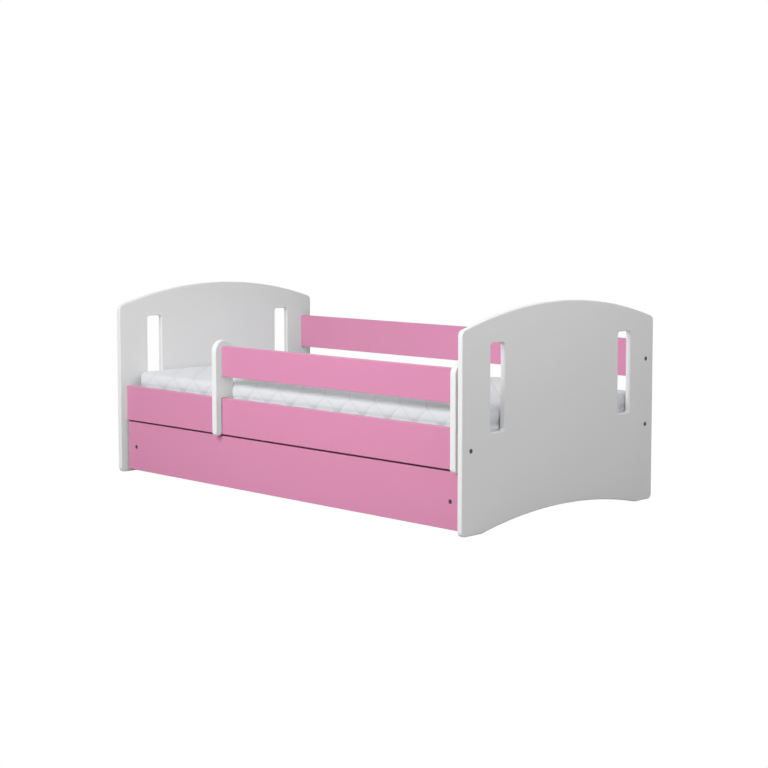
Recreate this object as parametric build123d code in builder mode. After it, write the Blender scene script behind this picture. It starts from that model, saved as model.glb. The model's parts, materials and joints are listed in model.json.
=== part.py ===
from build123d import *
import os

os.makedirs("parts", exist_ok=True)

# A toddler bed, in millimetres. X runs along the bed, the drawer and the guard are on
# the -Y side, +Z is up, and the origin is on the floor under the middle of the bed.

# ---- driving sizes -------------------------------------------------------------------
mattress_length = 1600
mattress_width = 800
mattress_thickness = 100
mattress_end_gap = 4  # between the mattress and each end panel
mattress_side_gap = 3  # between the mattress and each side rail
mattress_trim = 2  # the cover is this much short of the nominal size on each side
mattress_rest_gap = 0.3  # above the slats
mattress_corner_round = 35
mattress_edge_round = 18
mattress_notch_gap = 2  # round each inner prong of the guard's posts

panel_thickness = 18
panel_width = 900
panel_corner_z = 585
panel_apex_z = 655
panel_top_round = 18
panel_foot_round = 16
board_edge_round = 3
arch_half_width = 365
arch_apex_z = 40
slot_width = 62
slot_bottom_z = 288
slot_top_z = 546
slot_round = 10
slot_y = 299

rail_thickness = 22
rail_height = 120
rail_edge_round = 2
side_rail_bottom_z = 184
upper_rail_bottom_z = 393

guard_post_thickness = 22
guard_post_width = 74
guard_post_bottom_z = 181
guard_post_top_z = 496
guard_post_foot_round = 10
guard_prong_bottom_z = 257  # the inner prong ends just above the slats
guard_left_x = -285.5  # middle of the left post
guard_right_x = 782.5  # middle of the right post
guard_rail_bottom_z = 376
guard_rail_height = 100
guard_screw_offset = 15  # from the middle of the guard rail to each screw
fork_side_gap = 1
fork_top_gap = 0.3
fork_round = 2

ledger_thickness = 20
ledger_height = 30
ledger_end_gap = 22
slat_count = 13
slat_width = 70
slat_thickness = 18
slat_end_gap = 3
slat_edge_round = 2
slat_top_z = 250
tape_width = 25
tape_thickness = 1
tape_y = 330

drawer_end_gap = 6
drawer_front_thickness = 18
drawer_front_bottom_z = 10
drawer_front_top_z = 178
drawer_side_x = 750  # middle of each side board
drawer_side_thickness = 16
drawer_side_bottom_z = 32
drawer_side_height = 120
drawer_depth = 752
drawer_bottom_thickness = 3
drawer_bottom_z = 58
groove_height = 3.2
groove_depth = 6
groove_end_gap = 1
bearer_width = 60
bearer_bottom_z = 40
bearer_x = {"left": -640, "middle": 0, "right": 640}
back_screw_offset = 24  # from the middle of the drawer back to each screw
drawer_dowel_offset = 24  # from the drawer bolt to each dowel, clear of the groove

wheel_radius = 18
wheel_width = 14
wheel_edge_round = 2
wheel_hub_radius = 6
wheel_rim_inner_radius = 14
wheel_recess = 4
castor_y = (-330, 250)
castor_plate_length = 46
castor_plate_width = 44
castor_plate_thickness = 2
castor_plate_round = 5
castor_screw_x = 17
castor_screw_y = 17
castor_screw_length = 14
cheek_width = 17
cheek_thickness = 2
cheek_side_play = 0.5
axle_radius = 2.5
axle_cap_radius = 4.5
axle_cap_height = 1.5
running_clearance = 0.05

# ---- fasteners -----------------------------------------------------------------------
bolt_head_radius = 6.5
bolt_head_height = 3
bolt_radius = 3
bolt_length = 60
bolt_socket_radius = 2.3  # corner radius of the 4 mm hexagon
bolt_socket_depth = 1.8
head_recess = 0.2  # how far a head sits below the face of its board
head_side_gap = 0.4
shank_side_gap = 0.2
nut_radius = 5
rail_nut_length = 14
drawer_nut_length = 12
nut_setback = 36  # from the end of a board to the middle of its barrel nut
nut_slot_width = 1.2
nut_slot_depth = 1
confirmat_head_radius = 5
confirmat_radius = 2.5
confirmat_length = 50
dowel_radius = 4
dowel_length = 30
dowel_chamfer = 1
dowel_in_face = 10  # depth of a dowel in the face of a board
dowel_offset = 35  # from the bolt to each dowel
screw_radius = 2
screw_head_radius = 4
screw_slot_length = 5.6
screw_slot_width = 1
screw_slot_depth = 1.2
ledger_screw_length = 35
slat_screw_length = 30
bearer_screw_length = 45
hole_end_gap = 1  # between the tip of a bolt, screw or dowel and the end of its hole
fit_gap = 0.05

# ---- sizes worked out from them ------------------------------------------------------
inner_x = mattress_length / 2 - mattress_trim + mattress_end_gap
outer_x = inner_x + panel_thickness
rail_inner_y = mattress_width / 2 - mattress_trim + mattress_side_gap
rail_y = rail_inner_y + rail_thickness / 2
rail_outer_y = rail_inner_y + rail_thickness
side_rail_z = side_rail_bottom_z + rail_height / 2
upper_rail_z = upper_rail_bottom_z + rail_height / 2
side_rail_top_z = side_rail_bottom_z + rail_height
guard_rail_z = guard_rail_bottom_z + guard_rail_height / 2
slat_bottom_z = slat_top_z - slat_thickness
ledger_z = slat_bottom_z - ledger_height / 2
ledger_y = rail_inner_y - ledger_thickness / 2
slat_pitch = 2 * inner_x / slat_count
drawer_front_x = inner_x - drawer_end_gap
drawer_front_y = -rail_outer_y
drawer_side_start_y = drawer_front_y + drawer_front_thickness
drawer_back_outer_y = drawer_front_y + drawer_depth
drawer_back_y = drawer_back_outer_y - drawer_side_thickness / 2
drawer_side_z = drawer_side_bottom_z + drawer_side_height / 2
drawer_inner_x = drawer_side_x - drawer_side_thickness / 2
drawer_outer_x = drawer_side_x + drawer_side_thickness / 2
bearer_z = (bearer_bottom_z + drawer_bottom_z) / 2
bolt_seat_depth = bolt_head_height + head_recess
guard_pilot_depth = confirmat_length + bolt_seat_depth - guard_post_thickness + hole_end_gap
back_pilot_depth = confirmat_length + bolt_seat_depth - drawer_side_thickness + hole_end_gap
peg_depth = dowel_length - dowel_in_face + hole_end_gap
bolt_reach = bolt_length + bolt_seat_depth - panel_thickness + hole_end_gap
rails = {
    "front_side_rail": (-rail_y, side_rail_z),
    "rear_side_rail": (rail_y, side_rail_z),
    "rear_upper_rail": (rail_y, upper_rail_z),
}
ledger_screw_x = [-650, -390, -130, 130, 390, 650]
end_slat_x = slat_pitch * (slat_count - 1) / 2
ends = {"left": -1, "right": 1}


def facing(x, y, z, direction):
    """A plane at a point, whose normal is the way a fastener's head looks."""
    return Plane(origin=(x, y, z), z_dir=direction)


def upright(x, y, z, side):
    """A plane across the bed, facing side along X, with its own Y pointing up."""
    return Plane(origin=(x, y, z), x_dir=(0, side, 0), z_dir=(side, 0, 0))


def finish(piece, name):
    """Name a finished piece and write its STEP file."""
    piece.part.label = name
    export_step(piece.part, f"parts/{name}.step")


# ---- fastener shapes -----------------------------------------------------------------
above = (Align.CENTER, Align.CENTER, Align.MIN)
below = (Align.CENTER, Align.CENTER, Align.MAX)


def socket_bolts(name, seats, head_radius, shank_radius, shank_length):
    """Low-head hexagon-socket bolts, each seated with its head on one of the planes."""
    with BuildPart() as group:
        with Locations(*seats):
            Cylinder(head_radius, bolt_head_height, align=above)
            Cylinder(shank_radius, shank_length, align=below)
        with BuildSketch(*[seat.offset(bolt_head_height) for seat in seats]):
            RegularPolygon(bolt_socket_radius, 6)
        extrude(amount=-bolt_socket_depth, mode=Mode.SUBTRACT)
    finish(group, name)


def barrel_nuts(name, seats, length):
    """Cross dowels: each plane sits at a nut's middle and faces the slot in its end."""
    with BuildPart() as group:
        with Locations(*seats):
            Cylinder(nut_radius, length)
        for seat in seats:
            across = Plane(origin=seat.origin, z_dir=seat.x_dir)
            with BuildSketch(across):
                Circle(bolt_radius + fit_gap)
            extrude(amount=nut_radius, both=True, mode=Mode.SUBTRACT)
        with BuildSketch(*[seat.offset(length / 2) for seat in seats]):
            Rectangle(2 * nut_radius, nut_slot_width)
        extrude(amount=-nut_slot_depth, mode=Mode.SUBTRACT)
    finish(group, name)


def wood_dowels(name, mouths):
    """Beech pegs: each plane is on the joint, and its normal points into the face hole."""
    with BuildPart() as group:
        for mouth in mouths:
            with BuildSketch(mouth.offset(dowel_in_face)):
                Circle(dowel_radius)
            extrude(amount=-dowel_length)
        chamfer(group.edges().filter_by(GeomType.CIRCLE), dowel_chamfer)
    finish(group, name)


def wood_screws(name, seats, length):
    """Countersunk cross-slot screws, each driven from one of the planes."""
    with BuildPart() as group:
        with Locations(*seats):
            Cylinder(screw_radius, length, align=below)
            Cone(screw_radius, screw_head_radius, screw_head_radius - screw_radius, align=below)
        with BuildSketch(*seats):
            Rectangle(screw_slot_length, screw_slot_width)
            Rectangle(screw_slot_width, screw_slot_length)
        extrude(amount=-screw_slot_depth, mode=Mode.SUBTRACT)
    finish(group, name)


# ---- end panels ----------------------------------------------------------------------
def end_panel(name, side):
    """A board with an arched top, a shallow arch between its feet and two tall slots."""
    half = panel_width / 2
    slot_height = slot_top_z - slot_bottom_z
    slot_z = (slot_top_z + slot_bottom_z) / 2
    face_x = min(side * inner_x, side * outer_x)
    with BuildPart() as panel:
        with BuildSketch(Plane.YZ.offset(face_x)) as outline:
            with BuildLine():
                Line((-half, panel_corner_z), (-half, 0))
                Line((-half, 0), (-arch_half_width, 0))
                ThreePointArc((-arch_half_width, 0), (0, arch_apex_z), (arch_half_width, 0))
                Line((arch_half_width, 0), (half, 0))
                Line((half, 0), (half, panel_corner_z))
                ThreePointArc((half, panel_corner_z), (0, panel_apex_z), (-half, panel_corner_z))
            make_face()
            fillet(outline.vertices().group_by(Axis.Y)[-1], panel_top_round)
            feet = outline.vertices().group_by(Axis.Y)[0].sort_by(Axis.X)
            fillet([feet[0], feet[-1]], panel_foot_round)
            with Locations((-slot_y, slot_z), (slot_y, slot_z)):
                RectangleRounded(slot_width, slot_height, slot_round, mode=Mode.SUBTRACT)
        extrude(amount=panel_thickness)
        fillet(panel.faces().filter_by(Axis.X).edges(), board_edge_round)
        with Locations(*[facing(side * outer_x, y, z, (side, 0, 0)) for y, z in rails.values()]):
            CounterBoreHole(
                bolt_radius + shank_side_gap,
                bolt_head_radius + head_side_gap,
                bolt_seat_depth,
                panel_thickness,
            )
        for y, z in rails.values():
            with Locations(*rail_mouths(side, y, z, -1)):
                Hole(dowel_radius + fit_gap, dowel_in_face + hole_end_gap)
    finish(panel, name)


def rail_mouths(side, y, z, turn):
    """The two dowel places at one end of a rail; turn is +1 to look out of the rail."""
    direction = (side * turn, 0, 0)
    return [facing(side * inner_x, y, z + dz, direction) for dz in (-dowel_offset, dowel_offset)]


for end, side in ends.items():
    end_panel(f"end_panel_{end}", side)


# ---- side rails and the upper rail at the back ---------------------------------------
def nut_side(y, z):
    """The way a rail's nut holes open: towards the mattress, or out at the back above it."""
    return 1 if y < 0 or z == upper_rail_z else -1


def rail(name, y, z, with_ledger):
    """A board between the end panels, bored at both ends for its bolt, nut and dowels."""
    inward = -1 if y > 0 else 1
    inner_y = y + inward * rail_thickness / 2
    nut_turn = nut_side(y, z)
    nut_face_y = y + nut_turn * rail_thickness / 2
    with BuildPart() as board:
        with BuildSketch(Plane.YZ.offset(-inner_x)):
            with Locations((y, z)):
                RectangleRounded(rail_thickness, rail_height, rail_edge_round)
        extrude(amount=2 * inner_x)
        for side in ends.values():
            with Locations(facing(side * inner_x, y, z, (side, 0, 0))):
                Hole(bolt_radius + shank_side_gap, bolt_reach)
            with Locations(*rail_mouths(side, y, z, 1)):
                Hole(dowel_radius + fit_gap, peg_depth)
            with Locations(facing(side * (inner_x - nut_setback), nut_face_y, z, (0, nut_turn, 0))):
                Hole(nut_radius + fit_gap, (rail_thickness + rail_nut_length) / 2)
        if with_ledger:
            with Locations(*[facing(x, inner_y, ledger_z, (0, inward, 0)) for x in ledger_screw_x]):
                Hole(screw_radius + fit_gap, ledger_screw_length - ledger_thickness + hole_end_gap)
    finish(board, name)


rail("front_side_rail", -rail_y, side_rail_z, True)
rail("rear_side_rail", rail_y, side_rail_z, True)
rail("rear_upper_rail", rail_y, upper_rail_z, False)

# ---- the bolts, nuts and dowels that hold the rails ----------------------------------
for end, side in ends.items():
    seat_x = side * (outer_x - bolt_seat_depth)
    seats = [facing(seat_x, y, z, (side, 0, 0)) for y, z in rails.values()]
    socket_bolts(f"frame_bolts_{end}", seats, bolt_head_radius, bolt_radius, bolt_length)

nut_seats = [
    Plane(
        origin=(side * (inner_x - nut_setback), y, z),
        x_dir=(1, 0, 0),
        z_dir=(0, nut_side(y, z), 0),
    )
    for side in ends.values()
    for y, z in rails.values()
]
barrel_nuts("frame_barrel_nuts", nut_seats, rail_nut_length)

frame_mouths = [
    mouth
    for side in ends.values()
    for y, z in rails.values()
    for mouth in rail_mouths(side, y, z, 1)
]
wood_dowels("frame_dowels", frame_mouths)


# ---- slatted base --------------------------------------------------------------------
def ledger(name, side):
    """A batten screwed inside a side rail, which carries one end of every slat."""
    with BuildPart() as batten:
        with BuildSketch(Plane.YZ.offset(-inner_x + ledger_end_gap)):
            with Locations((side * ledger_y, ledger_z)):
                Rectangle(ledger_thickness, ledger_height)
        extrude(amount=2 * (inner_x - ledger_end_gap))
        with Locations(*ledger_seats(side)):
            CounterSinkHole(screw_radius + fit_gap, screw_head_radius + 2 * fit_gap, ledger_thickness)
        slat_ends = [(x, side * ledger_y, slat_bottom_z) for x in (-end_slat_x, end_slat_x)]
        with Locations(*slat_ends):
            Hole(screw_radius + fit_gap, slat_screw_length - slat_thickness + hole_end_gap)
    finish(batten, name)


def ledger_seats(side):
    """Screw heads along the inner face of a ledger."""
    inner_y = side * (rail_inner_y - ledger_thickness)
    return [facing(x, inner_y, ledger_z, (0, -side, 0)) for x in ledger_screw_x]


ledger("front_ledger", -1)
ledger("rear_ledger", 1)
wood_screws("ledger_screws", ledger_seats(-1) + ledger_seats(1), ledger_screw_length)


def slat(number):
    """One crosswise slat of planed pine; the first and the last are bored for screws."""
    x = (number - (slat_count + 1) / 2) * slat_pitch
    half_length = rail_inner_y - slat_end_gap
    with BuildPart() as board:
        with BuildSketch(Plane.XZ.offset(-half_length)):
            with Locations((x, slat_top_z - slat_thickness / 2)):
                RectangleRounded(slat_width, slat_thickness, slat_edge_round)
        extrude(amount=2 * half_length)
        if number in (1, slat_count):
            with Locations((x, -ledger_y, slat_top_z), (x, ledger_y, slat_top_z)):
                CounterSinkHole(screw_radius + fit_gap, screw_head_radius + 2 * fit_gap, slat_thickness)
    finish(board, f"slat_{number:02d}")


for number in range(1, slat_count + 1):
    slat(number)

slat_seats = [
    facing(x, y, slat_top_z, (0, 0, 1))
    for x in (-end_slat_x, end_slat_x)
    for y in (-ledger_y, ledger_y)
]
wood_screws("slat_screws", slat_seats, slat_screw_length)

for name, y in (("slat_tape_front", -tape_y), ("slat_tape_rear", tape_y)):
    with BuildPart() as tape:
        with BuildSketch(Plane.XY.offset(slat_bottom_z - tape_thickness)):
            with Locations((0, y)):
                Rectangle(2 * end_slat_x + slat_width / 2, tape_width)
        extrude(amount=tape_thickness)
    finish(tape, name)


# ---- guard that lifts off the front side rail ----------------------------------------
def guard_mouths(post_x, side):
    """The two dowel places between a post and the guard rail, looking into the post."""
    face_x = post_x - side * guard_post_thickness / 2
    return [
        facing(face_x, -rail_y, guard_rail_z + dz, (side, 0, 0))
        for dz in (-dowel_offset, dowel_offset)
    ]


def guard_seats(post_x, side):
    """The two screw heads on the outer side of a post, on their counterbore floors."""
    seat_x = post_x + side * (guard_post_thickness / 2 - bolt_seat_depth)
    return [
        facing(seat_x, -rail_y, guard_rail_z + dz, (side, 0, 0))
        for dz in (-guard_screw_offset, guard_screw_offset)
    ]


def guard_post(name, post_x, side):
    """A round-topped post whose fork drops over the side rail, the long prong outside."""
    fork_top_z = side_rail_top_z + fork_top_gap
    shoulder_z = guard_post_top_z - guard_post_width / 2
    outer_y = -rail_y - guard_post_width / 2
    inner_y = -rail_y + guard_post_width / 2
    fork_outer_y = -rail_outer_y - fork_side_gap
    fork_inner_y = -rail_inner_y + fork_side_gap
    with BuildPart() as post:
        with BuildSketch(Plane.YZ.offset(post_x - guard_post_thickness / 2)) as outline:
            with BuildLine():
                Line((outer_y, shoulder_z), (outer_y, guard_post_bottom_z))
                Line((outer_y, guard_post_bottom_z), (fork_outer_y, guard_post_bottom_z))
                Line((fork_outer_y, guard_post_bottom_z), (fork_outer_y, fork_top_z))
                Line((fork_outer_y, fork_top_z), (fork_inner_y, fork_top_z))
                Line((fork_inner_y, fork_top_z), (fork_inner_y, guard_prong_bottom_z))
                Line((fork_inner_y, guard_prong_bottom_z), (inner_y, guard_prong_bottom_z))
                Line((inner_y, guard_prong_bottom_z), (inner_y, shoulder_z))
                ThreePointArc(
                    (inner_y, shoulder_z), (-rail_y, guard_post_top_z), (outer_y, shoulder_z)
                )
            make_face()
            fillet(outline.vertices().group_by(Axis.Y)[2], fork_round)
            outer_foot, inner_foot = outline.vertices().group_by(Axis.Y)[:2]
            fillet(outer_foot + inner_foot, guard_post_foot_round)
        extrude(amount=guard_post_thickness)
        fillet(post.faces().filter_by(Axis.X).edges(), board_edge_round)
        outer_face = [seat.offset(bolt_seat_depth) for seat in guard_seats(post_x, side)]
        with Locations(*outer_face):
            CounterBoreHole(
                confirmat_radius + shank_side_gap,
                confirmat_head_radius + head_side_gap,
                bolt_seat_depth,
                guard_post_thickness,
            )
        mouths = [facing(*mouth.origin, (-side, 0, 0)) for mouth in guard_mouths(post_x, side)]
        with Locations(*mouths):
            Hole(dowel_radius + fit_gap, dowel_in_face + hole_end_gap)
    finish(post, name)


guard_posts = {"left": (guard_left_x, -1), "right": (guard_right_x, 1)}
for end, (post_x, side) in guard_posts.items():
    guard_post(f"guard_post_{end}", post_x, side)

guard_start_x = guard_left_x + guard_post_thickness / 2
guard_end_x = guard_right_x - guard_post_thickness / 2
with BuildPart() as guard_rail:
    with BuildSketch(Plane.YZ.offset(guard_start_x)):
        with Locations((-rail_y, guard_rail_z)):
            RectangleRounded(rail_thickness, guard_rail_height, rail_edge_round)
    extrude(amount=guard_end_x - guard_start_x)
    for post_x, side in guard_posts.values():
        with Locations(*guard_mouths(post_x, side)):
            Hole(dowel_radius + fit_gap, peg_depth)
        depth = bolt_seat_depth - guard_post_thickness
        with Locations(*[seat.offset(depth) for seat in guard_seats(post_x, side)]):
            Hole(confirmat_radius + fit_gap, guard_pilot_depth)
finish(guard_rail, "guard_rail")

all_guard_seats = [seat for place in guard_posts.values() for seat in guard_seats(*place)]
socket_bolts(
    "guard_screws", all_guard_seats, confirmat_head_radius, confirmat_radius, confirmat_length
)
all_guard_mouths = [mouth for place in guard_posts.values() for mouth in guard_mouths(*place)]
wood_dowels("guard_dowels", all_guard_mouths)

# ---- drawer --------------------------------------------------------------------------
front_height = drawer_front_top_z - drawer_front_bottom_z
groove_z = drawer_bottom_z + groove_height / 2
drawer_bolt_seats = [
    facing(side * drawer_side_x, drawer_front_y + bolt_seat_depth, drawer_side_z, (0, -1, 0))
    for side in ends.values()
]


def drawer_front_mouths(direction):
    """Dowel places behind the drawer front, one pair to each side board."""
    return [
        facing(side * drawer_side_x, drawer_side_start_y, drawer_side_z + dz, direction)
        for side in ends.values()
        for dz in (-drawer_dowel_offset, drawer_dowel_offset)
    ]


def drawer_back_seats(side):
    """Screw heads on the outer side of a drawer side, opposite the end of the back."""
    seat_x = side * (drawer_outer_x - bolt_seat_depth)
    return [
        facing(seat_x, drawer_back_y, drawer_side_z + dz, (side, 0, 0))
        for dz in (-back_screw_offset, back_screw_offset)
    ]


def bearer_mouths(direction):
    """Dowel places behind the drawer front, one to each bearer."""
    return [facing(x, drawer_side_start_y, bearer_z, direction) for x in bearer_x.values()]


def bearer_seats():
    """Screw heads on the outside of the drawer back, opposite the ends of the bearers."""
    return [facing(x, drawer_back_outer_y, bearer_z, (0, 1, 0)) for x in bearer_x.values()]


def castor_screw_seats(x):
    """Four screw heads under the plate of each castor on the bearer at x."""
    seat_z = bearer_bottom_z - castor_plate_thickness
    return [
        facing(x + dx, y + dy, seat_z, (0, 0, -1))
        for y in castor_y
        for dx in (-castor_screw_x, castor_screw_x)
        for dy in (-castor_screw_y, castor_screw_y)
    ]


with BuildPart() as drawer_front:
    with BuildSketch(Plane.XZ.offset(-drawer_front_y)):
        with Locations((0, drawer_front_bottom_z + front_height / 2)):
            Rectangle(2 * drawer_front_x, front_height)
    extrude(amount=-drawer_front_thickness)
    fillet(drawer_front.faces().sort_by(Axis.Y)[0].edges(), rail_edge_round)
    with Locations(*[seat.offset(bolt_seat_depth) for seat in drawer_bolt_seats]):
        CounterBoreHole(
            bolt_radius + shank_side_gap,
            bolt_head_radius + head_side_gap,
            bolt_seat_depth,
            drawer_front_thickness,
        )
    with Locations(*drawer_front_mouths((0, 1, 0)), *bearer_mouths((0, 1, 0))):
        Hole(dowel_radius + fit_gap, dowel_in_face + hole_end_gap)
    with BuildSketch(Plane.XZ.offset(-drawer_side_start_y)):
        with Locations((0, groove_z)):
            Rectangle(2 * (drawer_inner_x + groove_depth), groove_height)
    extrude(amount=groove_depth, mode=Mode.SUBTRACT)
finish(drawer_front, "drawer_front")


def drawer_side(name, side):
    """A side board of the drawer, grooved for the bottom and bored for its fasteners."""
    length = drawer_back_outer_y - drawer_side_start_y
    with BuildPart() as board:
        with BuildSketch(Plane.XZ.offset(-drawer_side_start_y)):
            with Locations((side * drawer_side_x, drawer_side_z)):
                Rectangle(drawer_side_thickness, drawer_side_height)
        extrude(amount=-length)
        with BuildSketch(Plane.XZ.offset(-drawer_side_start_y)):
            with Locations((side * (drawer_inner_x + groove_depth / 2), groove_z)):
                Rectangle(groove_depth, groove_height)
        extrude(amount=-length, mode=Mode.SUBTRACT)
        with Locations(facing(side * drawer_side_x, drawer_side_start_y, drawer_side_z, (0, -1, 0))):
            Hole(bolt_radius + shank_side_gap, bolt_reach)
        mouths = [mouth for mouth in drawer_front_mouths((0, -1, 0)) if mouth.origin.X * side > 0]
        with Locations(*mouths):
            Hole(dowel_radius + fit_gap, peg_depth)
        nut_y = drawer_side_start_y + nut_setback
        with Locations(facing(side * drawer_inner_x, nut_y, drawer_side_z, (-side, 0, 0))):
            Hole(nut_radius + fit_gap, (drawer_side_thickness + drawer_nut_length) / 2)
        with Locations(*[seat.offset(bolt_seat_depth) for seat in drawer_back_seats(side)]):
            CounterBoreHole(
                confirmat_radius + shank_side_gap,
                confirmat_head_radius + head_side_gap,
                bolt_seat_depth,
                drawer_side_thickness,
            )
    finish(board, name)


for end, side in ends.items():
    drawer_side(f"drawer_side_{end}", side)

with BuildPart() as drawer_back:
    with BuildSketch(Plane.YZ.offset(-drawer_inner_x)):
        with Locations((drawer_back_y, drawer_side_z)):
            Rectangle(drawer_side_thickness, drawer_side_height)
    extrude(amount=2 * drawer_inner_x)
    with BuildSketch(Plane.YZ.offset(-drawer_inner_x)):
        with Locations((drawer_back_y - drawer_side_thickness / 2 + groove_depth / 2, groove_z)):
            Rectangle(groove_depth, groove_height)
    extrude(amount=2 * drawer_inner_x, mode=Mode.SUBTRACT)
    depth = bolt_seat_depth - drawer_side_thickness
    for side in ends.values():
        with Locations(*[seat.offset(depth) for seat in drawer_back_seats(side)]):
            Hole(confirmat_radius + fit_gap, back_pilot_depth)
    with Locations(*bearer_seats()):
        CounterSinkHole(screw_radius + fit_gap, screw_head_radius + 2 * fit_gap, drawer_side_thickness)
finish(drawer_back, "drawer_back")

bottom_width = 2 * (drawer_inner_x + groove_depth - groove_end_gap)
bottom_start_y = drawer_side_start_y - groove_depth + groove_end_gap
bottom_end_y = drawer_back_outer_y - drawer_side_thickness + groove_depth - groove_end_gap
with BuildPart() as drawer_bottom:
    with BuildSketch(Plane.XY.offset(drawer_bottom_z)):
        with Locations((0, (bottom_start_y + bottom_end_y) / 2)):
            Rectangle(bottom_width, bottom_end_y - bottom_start_y)
    extrude(amount=drawer_bottom_thickness)
finish(drawer_bottom, "drawer_bottom")


def bearer(name, x, with_castors):
    """A batten under the bottom, from the drawer front to the drawer back."""
    length = drawer_back_outer_y - drawer_side_thickness - drawer_side_start_y
    end_y = drawer_side_start_y + length
    with BuildPart() as batten:
        with BuildSketch(Plane.XY.offset(bearer_bottom_z)):
            with Locations((x, drawer_side_start_y + length / 2)):
                Rectangle(bearer_width, length)
        extrude(amount=drawer_bottom_z - bearer_bottom_z)
        with Locations(facing(x, drawer_side_start_y, bearer_z, (0, -1, 0))):
            Hole(dowel_radius + fit_gap, peg_depth)
        with Locations(facing(x, end_y, bearer_z, (0, 1, 0))):
            Hole(screw_radius + fit_gap, bearer_screw_length - drawer_side_thickness + hole_end_gap)
        if with_castors:
            with Locations(*[seat.offset(-castor_plate_thickness) for seat in castor_screw_seats(x)]):
                Hole(screw_radius + fit_gap, castor_screw_length - castor_plate_thickness + hole_end_gap)
    finish(batten, name)


for place, x in bearer_x.items():
    bearer(f"drawer_bearer_{place}", x, place in ends)

socket_bolts("drawer_bolts", drawer_bolt_seats, bolt_head_radius, bolt_radius, bolt_length)
drawer_nut_seats = [
    Plane(
        origin=(side * drawer_side_x, drawer_side_start_y + nut_setback, drawer_side_z),
        x_dir=(0, 1, 0),
        z_dir=(-side, 0, 0),
    )
    for side in ends.values()
]
barrel_nuts("drawer_barrel_nuts", drawer_nut_seats, drawer_nut_length)
wood_dowels("drawer_dowels", drawer_front_mouths((0, -1, 0)) + bearer_mouths((0, -1, 0)))
wood_screws("bearer_screws", bearer_seats(), bearer_screw_length)
back_seats = [seat for side in ends.values() for seat in drawer_back_seats(side)]
socket_bolts(
    "drawer_back_screws", back_seats, confirmat_head_radius, confirmat_radius, confirmat_length
)

# ---- fixed castors under the outer bearers -------------------------------------------
castor_places = [(bearer_x[end], y) for end in ends for y in castor_y]
plate_z = bearer_bottom_z - castor_plate_thickness
cheek_inner = wheel_width / 2 + cheek_side_play
cheek_outer = cheek_inner + cheek_thickness
all_castor_seats = [seat for end in ends for seat in castor_screw_seats(bearer_x[end])]
outer_cheek_faces = [
    facing(x + cheek_outer, y, wheel_radius, (1, 0, 0)) for x, y in castor_places
]

with BuildPart() as castor_forks:
    with BuildSketch(Plane.XY.offset(plate_z)):
        with Locations(*castor_places):
            RectangleRounded(castor_plate_width, castor_plate_length, castor_plate_round)
    extrude(amount=castor_plate_thickness)
    for x, y in castor_places:
        for start_x in (x - cheek_outer, x + cheek_inner):
            with BuildSketch(upright(start_x, y, wheel_radius, 1)):
                Circle(cheek_width / 2)
                with Locations((0, (plate_z - wheel_radius) / 2)):
                    Rectangle(cheek_width, plate_z - wheel_radius)
            extrude(amount=cheek_thickness)
    with Locations(*outer_cheek_faces):
        Hole(axle_radius + fit_gap, 2 * cheek_outer)
    with Locations(*all_castor_seats):
        CounterSinkHole(
            screw_radius + fit_gap, screw_head_radius + 2 * fit_gap, castor_plate_thickness
        )
finish(castor_forks, "castor_forks")

with BuildPart() as castor_axles:
    for x, y in castor_places:
        with BuildSketch(upright(x - cheek_outer, y, wheel_radius, 1)):
            Circle(axle_radius)
        extrude(amount=2 * cheek_outer)
        for start_x in (x - cheek_outer - axle_cap_height, x + cheek_outer):
            with BuildSketch(upright(start_x, y, wheel_radius, 1)):
                Circle(axle_cap_radius)
            extrude(amount=axle_cap_height)
finish(castor_axles, "castor_axles")

wood_screws("castor_screws", all_castor_seats, castor_screw_length)


def castor_wheel(name, x, y):
    """A moulded wheel with a flat tread, a raised hub and a thin web between them."""
    left_face = upright(x - wheel_width / 2, y, wheel_radius, 1)
    with BuildPart() as wheel:
        with BuildSketch(left_face):
            Circle(wheel_radius)
        extrude(amount=wheel_width)
        fillet(wheel.edges().filter_by(GeomType.CIRCLE), wheel_edge_round)
        for face, inward in ((left_face, 1), (left_face.offset(wheel_width), -1)):
            with BuildSketch(face):
                Circle(wheel_rim_inner_radius)
                Circle(wheel_hub_radius, mode=Mode.SUBTRACT)
            extrude(amount=inward * wheel_recess, mode=Mode.SUBTRACT)
        with BuildSketch(left_face):
            Circle(axle_radius + running_clearance)
        extrude(amount=wheel_width, mode=Mode.SUBTRACT)
    finish(wheel, name)


for end in ends:
    for row, y in zip(("front", "rear"), castor_y):
        castor_wheel(f"castor_wheel_{row}_{end}", bearer_x[end], y)

# ---- mattress ------------------------------------------------------------------------
half_length = mattress_length / 2 - mattress_trim
half_width = mattress_width / 2 - mattress_trim
notch_depth = half_width - rail_y + guard_post_width / 2 + mattress_notch_gap
notch_y = -half_width + notch_depth / 2
end_notch_x = guard_right_x - guard_post_thickness / 2 - mattress_notch_gap
with BuildPart() as mattress:
    with BuildSketch(Plane.XY.offset(slat_top_z + mattress_rest_gap)):
        RectangleRounded(2 * half_length, 2 * half_width, mattress_corner_round)
    extrude(amount=mattress_thickness)
    fillet(mattress.faces().filter_by(Axis.Z).edges(), mattress_edge_round)
    with BuildSketch(Plane.XY.offset(slat_top_z)):
        with Locations((guard_left_x, notch_y)):
            Rectangle(guard_post_thickness + 2 * mattress_notch_gap, notch_depth)
        with Locations(((end_notch_x + half_length) / 2, notch_y)):
            Rectangle(half_length - end_notch_x, notch_depth)
    extrude(amount=2 * mattress_thickness, mode=Mode.SUBTRACT)
finish(mattress, "mattress")
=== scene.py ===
# %% [markdown]
# A low bed for a small child: two arched end panels of white lacquered board, pink
# lacquered rails and drawer front, a guard that lifts off, and a quilted mattress on
# pine slats. The boards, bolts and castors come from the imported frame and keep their
# shapes. This script gives them their finishes, and makes the soft quilted cover of the
# mattress and the staples, which are too slack or too small for the frame.

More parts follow.
